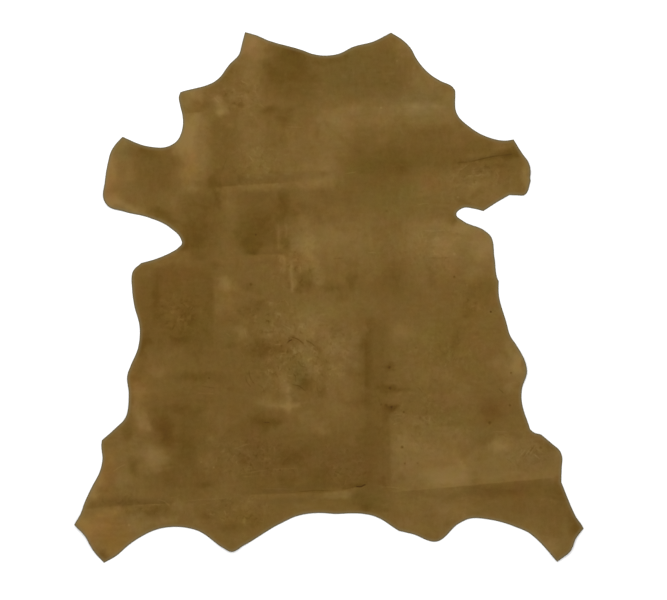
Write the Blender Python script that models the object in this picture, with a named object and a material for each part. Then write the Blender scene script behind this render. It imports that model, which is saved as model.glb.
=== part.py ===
"""A sheepskin suede: one whole cut skin, laid flat with its napped side up and its neck towards +Y."""

from collections import namedtuple
from math import cos, pi

import bpy
import bmesh
from mathutils import Vector
from mathutils.geometry import delaunay_2d_cdt, interpolate_bezier

MM = 0.001

# The suede: buffed leather, dull and a little uneven in colour
THICKNESS = 1.2
SUEDE_COLOUR = (0.178, 0.102, 0.026, 1)
SUEDE_ROUGHNESS = 0.95

# How closely the cut edge, the folds and the swells are followed
EDGE_STEP = 8
FOLD_STEP = 14
FOLD_ROWS = (-1, -0.6, -0.3, 0, 0.3, 0.6, 1)
SWELL_STEP = 14
LEAST_GAP = 5

# The cut edge, clockwise from the neck's left tip, in millimetres from the middle of the skin.
# Each stretch starts at a sharp corner and runs smoothly through its other points to the next.
Stretch = namedtuple("Stretch", "name points")
EDGE = (
    Stretch("neck edge", [(-158, 500), (-114, 485), (-52, 466), (-30, 459), (20, 460), (44, 472), (85, 482)]),
    Stretch("right cheek", [(117, 499), (143, 482), (154, 468), (163, 451), (192, 419), (209, 408), (234, 395)]),
    Stretch("right shoulder", [(238, 390), (242, 345), (265, 321), (336, 295)]),
    Stretch("right foreleg end", [(348, 298), (367, 268), (381, 237)]),
    Stretch("right foreleg nick", [(378, 226)]),
    Stretch("right foreleg heel", [(381, 220), (371, 195)]),
    Stretch("right foreleg underside", [(367, 192)]),
    Stretch("right armpit lip", [(340, 193), (319, 181)]),
    Stretch("right armpit", [(291, 163), (251, 168), (239, 157), (251, 145), (291, 126), (302, 117),
                             (311, 74), (319, 33)]),
    Stretch("right flank", [(320, 31), (320, 8), (334, -45), (342, -72), (371, -122), (373, -137),
                            (364, -172), (363, -188)]),
    Stretch("right knee", [(379, -248), (386, -254)]),
    Stretch("right thigh", [(400, -258), (420, -275), (436, -290), (440, -302), (439, -318)]),
    Stretch("right hind shin", [(438, -348), (458, -396), (467, -414), (477, -428)]),
    Stretch("right hind foot", [(480, -435), (463, -457), (455, -480)]),
    Stretch("right hind heel", [(430, -498), (376, -442), (305, -419), (261, -418), (245, -426),
                                (202, -460), (158, -446)]),
    Stretch("rump right", [(132, -440), (118, -432), (102, -420), (85, -412)]),
    Stretch("rump left", [(11, -408), (-18, -406), (-57, -411), (-95, -428), (-160, -467), (-185, -479),
                          (-199, -473), (-249, -439), (-316, -434), (-370, -460), (-404, -489)]),
    Stretch("left hind heel", [(-424, -500), (-451, -467), (-458, -452)]),
    Stretch("left hind foot", [(-480, -428), (-466, -405), (-461, -390), (-446, -357), (-430, -328),
                               (-426, -306), (-429, -278)]),
    Stretch("left thigh", [(-428, -269), (-401, -245), (-386, -230), (-376, -182), (-379, -145),
                           (-374, -129), (-360, -95), (-357, -55), (-367, -15), (-371, 14), (-368, 52)]),
    Stretch("left armpit", [(-354, 65), (-332, 71), (-300, 84), (-277, 103), (-279, 110), (-341, 151),
                            (-387, 162), (-418, 174), (-425, 184), (-422, 218), (-404, 288)]),
    Stretch("left foreleg", [(-389, 304), (-350, 286), (-303, 284), (-290, 291), (-275, 320),
                             (-282, 364), (-284, 379)]),
    Stretch("left shoulder", [(-281, 387), (-208, 413), (-189, 439), (-168, 462), (-166, 473)]),
)

# Folds left from packing: a ridge stands up along its line, and a trough lies between two low rolls.
# Places in millimetres; bow is how far the middle strays to the left of the straight line.
Fold = namedtuple("Fold", "name kind start end bow rise half_width")
FOLDS = (
    Fold("withers ridge", "ridge", (8, 358), (222, 357), 2, 2.4, 24),
    Fold("shoulder trough", "trough", (-234, 207), (32, 225), 4, 2.6, 30),
    Fold("left shoulder ridge", "ridge", (-254, 210), (-252, 350), 3, 3.0, 22),
    Fold("right foreleg trough", "trough", (245, 253), (346, 266), 0, 1.8, 20),
    Fold("left rib trough", "trough", (-160, 80), (-82, 82), 0, 1.6, 20),
    Fold("loin ridge", "ridge", (73, -42), (75, -214), -3, 2.2, 20),
    Fold("rump ridge", "ridge", (113, -240), (114, -360), 2, 2.6, 24),
    Fold("right hind ridge", "ridge", (180, -360), (437, -340), -2, 3.6, 28),
    Fold("rump trough", "trough", (-168, -372), (70, -352), -2, 2.0, 24),
    Fold("left hind trough", "trough", (-451, -397), (-290, -388), 1, 2.6, 30),
)

# Soft swells where the skin stands a little off the surface, most of them at its free edges
Swell = namedtuple("Swell", "name middle reach rise")
SWELLS = (
    Swell("neck tip", (-150, 478), 62, 3.2),
    Swell("neck corner", (112, 492), 46, 2.4),
    Swell("left foreleg rim", (-424, 205), 66, 3.6),
    Swell("right foreleg tip", (384, 238), 46, 2.6),
    Swell("right flank top", (262, 92), 78, 3.0),
    Swell("right flank bulge", (374, -132), 54, 3.4),
    Swell("left flank bulge", (-372, -188), 58, 2.8),
    Swell("left hind foot", (-462, -446), 70, 4.2),
    Swell("right hind foot", (456, -470), 66, 3.8),
    Swell("rump point", (-186, -474), 48, 2.6),
    Swell("right rump panel", (208, -292), 82, 2.8),
)


def bell(distance):
    """1 in the middle, falling softly to 0 at a distance of 1."""
    return 0.5 + 0.5 * cos(pi * min(abs(distance), 1))


def heading(before, here, after):
    """The way in which the edge passes a point, led by the nearer of its neighbours."""
    back = here - before
    ahead = after - here
    return (back.normalized() * ahead.length + ahead.normalized() * back.length).normalized()


def smooth_stretch(points):
    """One stretch of the edge as short steps, sharp at both ends, without its last point."""
    headings = [(points[1] - points[0]).normalized()]
    headings += [heading(*points[k - 1:k + 2]) for k in range(1, len(points) - 1)]
    headings.append((points[-1] - points[-2]).normalized())
    steps = []
    for k, start in enumerate(points[:-1]):
        end = points[k + 1]
        span = (end - start).length
        leaving = start + headings[k] * span / 3
        arriving = end - headings[k + 1] * span / 3
        count = max(1, round(span / EDGE_STEP))
        steps += [p.xy for p in interpolate_bezier(start, leaving, arriving, end, count + 1)][:-1]
    return steps


def cut_edge():
    """The whole cut edge as one closed ring of points."""
    ring = []
    for k, stretch in enumerate(EDGE):
        corner_after = EDGE[(k + 1) % len(EDGE)].points[0]
        ring += smooth_stretch([Vector(p) for p in stretch.points + [corner_after]])
    return ring


def fold_line(fold):
    """A fold's start, its run and the direction to its left."""
    start = Vector(fold.start)
    run = Vector(fold.end) - start
    return start, run, run.orthogonal().normalized()


def fold_height(fold, point):
    """How far one fold lifts the skin at a point."""
    start, run, left = fold_line(fold)
    along = (point - start).dot(run) / run.length_squared
    if not 0 < along < 1:
        return 0
    across = ((point - start).dot(left) - fold.bow * bell(2 * along - 1)) / fold.half_width
    shape = bell(across) ** 1.5 if fold.kind == "ridge" else bell(2 * abs(across) - 1)
    return fold.rise * shape * bell((2 * along - 1) ** 3) if abs(across) < 1 else 0


def swell_height(swell, point):
    """How far one swell lifts the skin at a point."""
    return swell.rise * bell((point - Vector(swell.middle)).length / swell.reach)


def lift(point):
    """The height of the skin's underside above the surface that it lies on."""
    return sum(fold_height(f, point) for f in FOLDS) + sum(swell_height(s, point) for s in SWELLS)


def fold_points(fold):
    """Rows of points along a fold, close enough to carry its shape."""
    start, run, left = fold_line(fold)
    count = round(run.length / FOLD_STEP)
    for k in range(count + 1):
        along = k / count
        middle = start + run * along + left * fold.bow * bell(2 * along - 1)
        for row in FOLD_ROWS:
            yield middle + left * row * fold.half_width


def swell_points(swell):
    """Rings of points over a swell, out to its foot."""
    yield Vector(swell.middle)
    for ring in range(1, round(swell.reach / SWELL_STEP) + 1):
        distance = ring * swell.reach / round(swell.reach / SWELL_STEP)
        count = round(2 * pi * distance / SWELL_STEP)
        for k in range(count):
            turn = 2 * pi * k / count
            yield Vector(swell.middle) + distance * Vector((cos(turn), cos(turn - pi / 2)))


def inside(point, ring):
    """Whether a point lies within the cut edge."""
    within = False
    for a, b in zip(ring, ring[1:] + ring[:1]):
        if (a.y > point.y) != (b.y > point.y):
            if point.x < a.x + (point.y - a.y) / (b.y - a.y) * (b.x - a.x):
                within = not within
    return within


def relief_points(ring):
    """The points inside the edge that carry the folds and swells, none too near another."""
    kept = list(ring)
    wanted = [p for fold in FOLDS for p in fold_points(fold)]
    wanted += [p for swell in SWELLS for p in swell_points(swell)]
    for point in wanted:
        if inside(point, ring) and all((point - other).length > LEAST_GAP for other in kept):
            kept.append(point)
    return kept[len(ring):]


def suede_material():
    """Matt brown suede."""
    material = bpy.data.materials.new("suede")
    material.use_nodes = True
    shader = material.node_tree.nodes["Principled BSDF"]
    shader.inputs["Base Color"].default_value = SUEDE_COLOUR
    shader.inputs["Roughness"].default_value = SUEDE_ROUGHNESS
    return material


def suede_skin():
    """The skin: its outline filled, lifted along its folds, and given the leather's thickness."""
    ring = cut_edge()
    points = ring + relief_points(ring)
    rim = [(k, (k + 1) % len(ring)) for k in range(len(ring))]
    flat, _, triangles, *_ = delaunay_2d_cdt(points, rim, [], 1, 1e-4)

    shape = bmesh.new()
    under = [shape.verts.new((p.x * MM, p.y * MM, lift(p) * MM)) for p in flat]
    faces = [shape.faces.new([under[corner] for corner in triangle]) for triangle in triangles]
    raised = bmesh.ops.extrude_face_region(shape, geom=faces, use_keep_orig=True)
    top = [item for item in raised["geom"] if isinstance(item, bmesh.types.BMVert)]
    bmesh.ops.translate(shape, verts=top, vec=(0, 0, THICKNESS * MM))
    bmesh.ops.recalc_face_normals(shape, faces=shape.faces)

    mesh = bpy.data.meshes.new("suede_skin")
    shape.to_mesh(mesh)
    shape.free()
    mesh.materials.append(suede_material())
    skin = bpy.data.objects.new("suede_skin", mesh)
    bpy.context.collection.objects.link(skin)
    return skin


for leftover in list(bpy.data.objects):
    bpy.data.objects.remove(leftover)
suede_skin()
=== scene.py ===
"""A sheepskin suede: one whole cut skin, laid flat with its napped side up and seen from straight above."""

from collections import namedtuple

import bpy
import numpy as np
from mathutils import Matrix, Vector, noise
from mathutils.geometry import delaunay_2d_cdt, interpolate_bezier
from mathutils.kdtree import KDTree


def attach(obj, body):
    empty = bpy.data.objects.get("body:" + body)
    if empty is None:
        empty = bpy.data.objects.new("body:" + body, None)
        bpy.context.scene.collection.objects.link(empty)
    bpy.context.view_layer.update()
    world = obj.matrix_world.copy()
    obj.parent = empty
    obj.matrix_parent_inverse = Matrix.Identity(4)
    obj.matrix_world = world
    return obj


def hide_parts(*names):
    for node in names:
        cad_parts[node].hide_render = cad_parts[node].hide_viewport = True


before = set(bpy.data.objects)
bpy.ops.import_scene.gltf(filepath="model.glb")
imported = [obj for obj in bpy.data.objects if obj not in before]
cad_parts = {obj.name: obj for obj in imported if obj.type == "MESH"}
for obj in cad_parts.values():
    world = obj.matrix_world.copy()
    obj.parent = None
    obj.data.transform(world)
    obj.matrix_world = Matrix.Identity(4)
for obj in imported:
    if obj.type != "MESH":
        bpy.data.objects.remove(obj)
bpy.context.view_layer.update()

# The suede skin
# One whole sheepskin, split and buffed on its flesh side to a short soft nap, and cut round by hand.
# It is thin and limp, and it keeps the creases of its packing and the patches where the nap was rubbed.
MM = 0.001
THICKNESS = 1.2

# The cut edge, clockwise from the neck's left tip, in millimetres from the middle of the skin.
# Each stretch starts at a sharp corner and runs smoothly through its other points to the next.
EDGE = {
    "neck edge": [(-158, 500), (-137, 494), (-113, 484), (-100, 480), (-73, 473), (-52, 467), (-30, 459),
                  (20, 460), (44, 472), (85, 483)],
    "right cheek": [(117, 499), (143, 482), (155, 469), (164, 452), (192, 420), (209, 409), (234, 396)],
    "right shoulder": [(238, 390), (242, 345), (266, 321), (298, 303), (336, 296)],
    "right foreleg end": [(348, 298), (367, 268), (375, 257), (380, 237)],
    "right foreleg nick": [(379, 226)],
    "right foreleg heel": [(380, 220), (371, 195)],
    "right foreleg underside": [(367, 192)],
    "right armpit lip": [(340, 193), (319, 181)],
    "right armpit": [(291, 163), (275, 167), (251, 168), (240, 157), (252, 145), (292, 127), (303, 118),
                     (312, 75), (319, 33)],
    "right flank": [(320, 31), (320, 8), (334, -45), (342, -72), (355, -92), (370, -122), (373, -137),
                    (364, -172), (363, -188)],
    "right knee": [(379, -248), (386, -254)],
    "right thigh": [(400, -258), (420, -275), (436, -290), (440, -302), (439, -318)],
    "right hind shin": [(438, -348), (458, -397), (466, -414), (476, -428)],
    "right hind foot": [(480, -435), (464, -456), (459, -470), (454, -479), (442, -489)],
    "right hind heel": [(430, -498), (394, -458), (376, -443), (353, -433), (305, -419), (261, -418),
                        (245, -426), (202, -460), (158, -446)],
    "rump right": [(132, -440), (118, -431), (102, -420), (85, -412), (66, -408)],
    "rump left": [(11, -408), (-18, -406), (-57, -411), (-95, -428), (-160, -467), (-185, -479),
                  (-199, -472), (-249, -439), (-316, -435), (-370, -461), (-404, -489)],
    "left hind heel": [(-424, -500), (-441, -481), (-450, -467), (-457, -453)],
    "left hind foot": [(-480, -428), (-467, -405), (-462, -390), (-447, -357), (-432, -328), (-427, -306),
                       (-429, -278)],
    "left thigh": [(-428, -269), (-401, -245), (-386, -230), (-377, -182), (-380, -146), (-374, -129),
                   (-360, -95), (-357, -55), (-367, -15), (-371, 14), (-368, 52)],
    "left armpit": [(-354, 65), (-332, 71), (-300, 84), (-285, 93), (-277, 103), (-279, 110), (-300, 132),
                    (-341, 151), (-387, 162), (-418, 174), (-424, 184), (-422, 218), (-416, 257),
                    (-411, 275), (-403, 288)],
    "left foreleg": [(-389, 303), (-350, 287), (-335, 284), (-303, 285), (-289, 293), (-276, 320),
                     (-276, 342), (-281, 364), (-283, 378)],
    "left shoulder": [(-280, 387), (-208, 413), (-188, 439), (-168, 461), (-165, 473)],
}

# Folds left from packing: a ridge stands up along its line, and a trough lies between two low rolls.
# Places in millimetres; bow is how far the middle strays to the left of the straight line.
Fold = namedtuple("Fold", "name kind start end bow rise half_width")
FOLDS = (
    Fold("withers ridge", "ridge", (8, 358), (222, 357), 2, 2.4, 24),
    Fold("shoulder trough", "trough", (-234, 207), (32, 225), 4, 2.6, 30),
    Fold("left shoulder ridge", "ridge", (-254, 210), (-252, 350), 3, 3.0, 22),
    Fold("right foreleg trough", "trough", (245, 253), (346, 266), 0, 1.8, 20),
    Fold("left rib trough", "trough", (-160, 80), (-82, 82), 0, 1.6, 20),
    Fold("loin ridge", "ridge", (73, -42), (75, -214), -3, 2.2, 20),
    Fold("rump ridge", "ridge", (113, -240), (114, -360), 2, 2.6, 24),
    Fold("right hind ridge", "ridge", (180, -360), (437, -340), -2, 3.6, 28),
    Fold("rump trough", "trough", (-168, -372), (70, -352), -2, 2.0, 24),
    Fold("left hind trough", "trough", (-451, -397), (-290, -388), 1, 2.6, 30),
)

# Soft swells where the skin stands a little off the surface, most of them at its free edges
Swell = namedtuple("Swell", "name middle reach rise")
SWELLS = (
    Swell("neck tip", (-150, 478), 62, 3.2),
    Swell("neck corner", (112, 492), 46, 2.4),
    Swell("left foreleg rim", (-424, 205), 66, 3.6),
    Swell("right foreleg tip", (384, 238), 46, 2.6),
    Swell("right flank top", (262, 92), 78, 3.0),
    Swell("right flank bulge", (374, -132), 54, 3.4),
    Swell("left flank bulge", (-372, -188), 58, 2.8),
    Swell("left hind foot", (-462, -446), 70, 4.2),
    Swell("right hind foot", (456, -470), 66, 3.8),
    Swell("rump point", (-186, -474), 48, 2.6),
    Swell("right rump panel", (208, -292), 82, 2.8),
)

# Fine creases in the nap: from x, y to x, y, the bow, and the rise, above 0 for a pressed ridge and below 0
# for a groove. Then the tone and the reach to the left of the line, the same to its right, and the turn,
# within which the one tone changes to the other. Each tone is strongest at the line itself. These tones are
# partly the nap's own and partly painted light and shade: one slope of a crease is painted lighter and the
# other darker, as light and shade fall on them.
# All tones here and below are in steps of 1/255 of full brightness, against the plain suede.
Crease = namedtuple("Crease", "start end bow rise tone_left reach_left tone_right reach_right turn")
CREASES = {
    "withers": (8, 358, 118, 357, 0, 0.3, 3, 6, 6, 14, 2),
    "withers, right part": (96, 356, 232, 360, 0, 0.3, 9, 12, 8, 17, 3),
    "shoulders": (-222, 207, -68, 217, 1, -0.3, -6, 14, 3, 10, 2),
    "shoulders, right end": (-84, 216, 12, 223, 0, -0.2, -1, 12, 1, 12, 4),
    "right foreleg": (238, 254, 364, 267, 0, -0.3, -4, 8, -3, 6, 1.5),
    "right hind leg": (108, -368, 438, -338, 0, 0.4, 5, 23, -3, 30, 1.5),
    "rump": (11, -367, 74, -352, 0, -0.3, -8, 11, 4, 13, 1.5),
    "rump, left part": (-168, -372, 11, -367, 0, -0.3, -2, 11, 4, 11, 1.5),
    "left hind leg": (-462, -398, -366, -391, 0, -0.2, -5, 22, 2, 15, 4),
    "left hind leg, right end": (-366, -393, -285, -387, 0, -0.3, -2, 11, 3, 5, 2),
    "beside the rump": (117, -361, 115, -225, 0, 0.3, -5, 20, 3, 20, 5),
    "loin": (67, -216, 69, -32, 0, 0.3, -3, 11, -9, 16, 3),
    "left flank": (-217, -54, -217, 48, 0, 0.2, -4, 26, 5, 23, 5),
    "left shoulder": (-226, 199, -230, 346, 0, 0.2, 2, 15, -3, 19, 12),
    "under the flank patch": (-215, -44, -158, -41, 0, -0.2, 2, 15, -4, 15, 4),
    "left ribs": (-158, 80, -83, 82, 0, -0.2, -4, 13, 2, 9, 3),
    "over the shoulder band": (-275, 346, -238, 350, 0, -0.2, -5, 9, 4, 11, 1.5),
    "rib streak": (-95, 86, -95, 140, 0, 0.1, 9, 6, 9, 6, 1.5),
    "second rib streak": (-80, 110, -80, 140, 0, 0.1, 10, 6, 10, 6, 1.5),
    "third rib streak": (-85, 44, -85, 80, 0, 0.1, 9, 6, 9, 6, 1.5),
    "fourth rib streak": (-69, 16, -71, 72, 1, 0.1, 11, 6, 11, 6, 1.5),
    "belly curl": (-74, -76, -45, -90, 2, -0.1, -6, 5, -6, 5, 1.5),
    "belly curl, right part": (-45, -82, -14, -104, 5, -0.1, -6, 5, -7, 7, 1.5),
    "belly scratch": (-140, -198, -60, -207, -2, 0.1, 8, 10, 8, 8, 4),
    "belly streak": (-77, -160, -74, -224, 0, 0.1, 9, 8, 9, 8, 4),
}

# Broad areas where the nap lies darker or lighter: from x to x, from y to y, the width of the soft border,
# and the tone
FIELDS = {
    "neck": (-120, 143, 387, 478, 24, -6),
    "neck strip": (-172, -124, 221, 504, 24, 5),
    "withers": (-17, 239, 325, 354, 14, 6),
    "left of the withers": (-21, 36, 218, 346, 26, 4),
    "right foreleg band": (24, 351, 238, 300, 28, -7),
    "under its left part": (21, 156, 188, 259, 30, -5),
    "right foreleg": (162, 322, 184, 237, 22, 3),
    "left shoulder band": (-285, -231, 196, 350, 24, 10),
    "beside the band": (-226, -164, 214, 338, 20, -5),
    "left armpit": (-270, -202, 86, 210, 20, -8),
    "left ribs": (-172, -77, 90, 199, 20, -7),
    "between the shoulders": (-126, 30, 221, 335, 30, 3),
    "ribs": (-74, 70, 67, 161, 28, 7),
    "right flank top": (143, 315, 67, 150, 20, 7),
    "right side": (60, 330, 26, 120, 24, 3),
    "middle of the back": (77, 153, -5, 78, 28, -5),
    "left flank": (-364, -215, -95, 63, 20, -8),
    "left flank patch": (-213, -162, -38, 42, 16, 1),
    "belly": (-74, 30, -90, -5, 32, 6),
    "belly, right part": (-8, 46, -225, -61, 18, 4),
    "loin strip": (62, 110, -258, -44, 14, -7),
    "loin strip, lower part": (58, 112, -404, -258, 18, -4),
    "loin": (-158, 90, -367, -254, 28, -7),
    "left loin": (-337, -215, -367, -193, 32, -6),
    "right thigh": (124, 445, -348, -269, 18, 6),
    "right rump": (128, 266, -357, -240, 26, 4),
    "right hind leg": (266, 469, -419, -349, 18, -5),
    "under the right hind crease": (130, 420, -440, -376, 22, 4),
    "left hind leg": (-458, -356, -382, -269, 28, 4),
    "left flank and loin": (-290, -130, -330, -60, 40, -3),
    "left hind foot": (-477, -337, -495, -402, 14, 8),
    "left foreleg rim": (-424, -390, 165, 297, 18, 6),
    "left foreleg": (-364, -281, 199, 286, 20, -6),
}

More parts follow.
